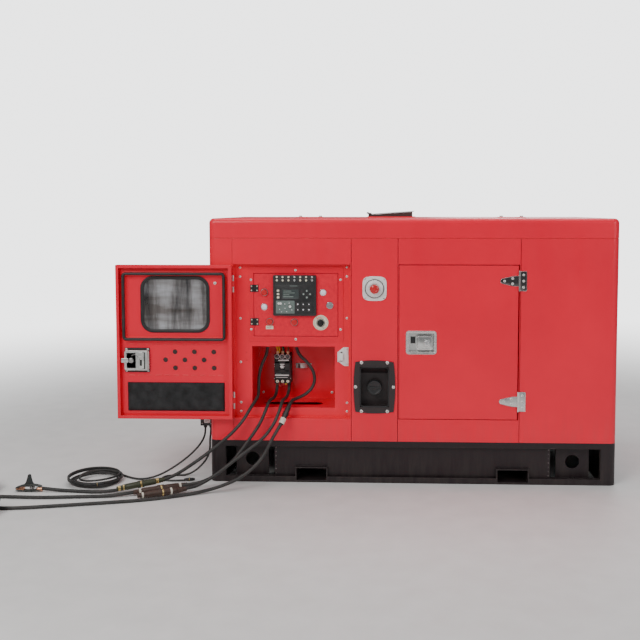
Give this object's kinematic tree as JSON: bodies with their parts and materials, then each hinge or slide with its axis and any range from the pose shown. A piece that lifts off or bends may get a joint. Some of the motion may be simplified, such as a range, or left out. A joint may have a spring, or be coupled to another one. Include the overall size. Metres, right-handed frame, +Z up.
{
  "type": "engine driven welder",
  "caption": "Silenced engine driven welder in a red sheet canopy on a black skid, with an open control door, a hinged panel, a service door and welding leads.",
  "frame": {"origin": "Middle of the canopy footprint, on the ground", "axes": "+X along the canopy, to the right seen from the control side; -Y is the control side; +Z up"},
  "size_m": [2.967, 1.5115, 1.2445],
  "materials": {
    "canopy_red": "smooth red paint, slight orange peel",
    "panel_red": "smooth red paint",
    "base_black": "satin black paint, dusty",
    "tank_plastic": "moulded black polyethylene",
    "zinc": "zinc plated steel",
    "stainless": "brushed stainless steel",
    "paddle_steel": "polished stainless steel",
    "breaker_body": "moulded black plastic with white caps",
    "white_plastic": "white moulded plastic",
    "controller_black": "black moulded bezel",
    "button_red": "glossy red plastic",
    "black_plastic": "black moulded plastic",
    "window": "clear safety glass",
    "rubber": "black rubber bulb profile",
    "foam": "dark acoustic foam",
    "engine_castings": "painted castings",
    "generator_castings": "painted castings",
    "radiator_black": "black painted core",
    "fan_plastic": "black moulded fan",
    "muffler_steel": "aluminised steel",
    "flap_steel": "heat stained steel",
    "lead_rubber": "black welding cable",
    "connector_olive": "olive rubber connector sleeves",
    "clamp_brass": "brass castings",
    "holder_red": "glass filled plastic"
  },
  "bodies": {
    "welder": {"base_frame": "base_black", "fuel_tank": "tank_plastic", "left_post_panel": "canopy_red", "centre_panel": "canopy_red", "right_panel": "canopy_red", "control_bay_panel": "canopy_red", "service_bay_panel": "canopy_red", "left_end_wall": "canopy_red", "right_end_wall": "canopy_red", "rear_wall": "canopy_red", "roof": "canopy_red", "control_enclosure": "canopy_red", "panel_frame": "canopy_red", "bay_fittings": "zinc", "circuit_breaker": "breaker_body", "hinge_fixed_leaves": "zinc", "estop_bezel": "black_plastic", "filler_recess": "black_plastic", "generator": "generator_castings", "engine": "engine_castings", "radiator": "radiator_black", "battery": "black_plastic", "muffler": "muffler_steel", "exhaust_outlet": "stainless", "output_socket": "black_plastic", "lead_c": "lead_rubber", "lead_d": "lead_rubber", "lead_e": "lead_rubber", "lead_f": "lead_rubber", "lead_a": "lead_rubber", "lead_b": "lead_rubber", "lead_d_coil": "lead_rubber", "lead_f_coil": "lead_rubber", "lead_a_coil": "lead_rubber", "couplers": "connector_olive", "work_clamp": "clamp_brass", "electrode_holder": "holder_red"},
    "control_door": {"control_door": "canopy_red", "window_glass": "window", "door_seals": "rubber", "door_foam": "foam", "door_latch": "stainless"},
    "door_paddle": {"door_paddle": "paddle_steel"},
    "control_panel": {"control_panel": "panel_red", "controller": "controller_black", "panel_fittings": "white_plastic"},
    "button_left": {"button_left": "button_red"},
    "button_lower_left": {"button_lower_left": "button_red"},
    "button_lower_right": {"button_lower_right": "button_red"},
    "key_knob": {"key_knob": "black_plastic"},
    "panel_lock": {"panel_lock": "paddle_steel"},
    "service_door": {"service_door": "canopy_red", "service_hinges": "stainless", "service_latch": "stainless"},
    "service_paddle": {"service_paddle": "paddle_steel"},
    "estop_button": {"estop_button": "button_red"},
    "breaker_toggle": {"breaker_toggle": "white_plastic"},
    "filler_cap": {"filler_cap": "black_plastic"},
    "rain_cap": {"rain_cap": "flap_steel"},
    "fan": {"fan": "fan_plastic"}
  },
  "joints": [
    {"name": "control_door_hinge", "type": "hinge", "parent": "welder", "child": "control_door", "pos_m": [-0.812, -0.456, 0.65], "axis": [0, 0, -1], "range_deg": [-92, 0]},
    {"name": "door_paddle_pull", "type": "hinge", "parent": "control_door", "child": "door_paddle", "pos_m": [-1.2935, -0.4655, 0.566], "axis": [0, 0, 1], "range_deg": [0, 35], "stiffness_Nm_per_rad": 0.3},
    {"name": "control_panel_hinge", "type": "hinge", "parent": "welder", "child": "control_panel", "pos_m": [-0.721, -0.422, 0.816], "axis": [0, 0, -1], "range_deg": [0, 95]},
    {"name": "button_left_press", "type": "slide", "parent": "control_panel", "child": "button_left", "axis": [0, 1, 0], "range_m": [0, 0.004], "stiffness_N_per_m": 500},
    {"name": "button_lower_left_press", "type": "slide", "parent": "control_panel", "child": "button_lower_left", "axis": [0, 1, 0], "range_m": [0, 0.004], "stiffness_N_per_m": 500},
    {"name": "button_lower_right_press", "type": "slide", "parent": "control_panel", "child": "button_lower_right", "axis": [0, 1, 0], "range_m": [0, 0.004], "stiffness_N_per_m": 500},
    {"name": "key_turn", "type": "hinge", "parent": "control_panel", "child": "key_knob", "pos_m": [-0.417, -0.4185, 0.735], "axis": [0, -1, 0], "range_deg": [0, 70]},
    {"name": "panel_lock_turn", "type": "hinge", "parent": "control_panel", "child": "panel_lock", "pos_m": [-0.375, -0.4185, 0.815], "axis": [0, -1, 0], "range_deg": [0, 90]},
    {"name": "service_door_hinge", "type": "hinge", "parent": "welder", "child": "service_door", "pos_m": [0.479, -0.456, 0.655], "axis": [0, 0, 1], "range_deg": [0, 115]},
    {"name": "service_paddle_pull", "type": "hinge", "parent": "service_door", "child": "service_paddle", "pos_m": [0.081, -0.4465, 0.65], "axis": [0, 0, 1], "range_deg": [0, 35], "stiffness_Nm_per_rad": 0.3},
    {"name": "estop_press", "type": "slide", "parent": "welder", "child": "estop_button", "axis": [0, 1, 0], "range_m": [0, 0.005]},
    {"name": "breaker_switch", "type": "hinge", "parent": "welder", "child": "breaker_toggle", "pos_m": [-0.6115, -0.284, 0.50258], "axis": [1, 0, 0], "range_deg": [0, 40]},
    {"name": "filler_cap_turn", "type": "hinge", "parent": "welder", "child": "filler_cap", "pos_m": [-0.1705, -0.404, 0.438], "axis": [0, -1, 0], "range_deg": [0, 90]},
    {"name": "rain_flap_hinge", "type": "hinge", "parent": "welder", "child": "rain_cap", "pos_m": [-0.2055, 0.054, 1.23], "axis": [0, -1, 0], "range_deg": [0, 60]},
    {"name": "fan_spin", "type": "hinge", "parent": "welder", "child": "fan", "pos_m": [0.608, 0.135, 0.58], "axis": [1, 0, 0], "continuous": true}
  ]
}
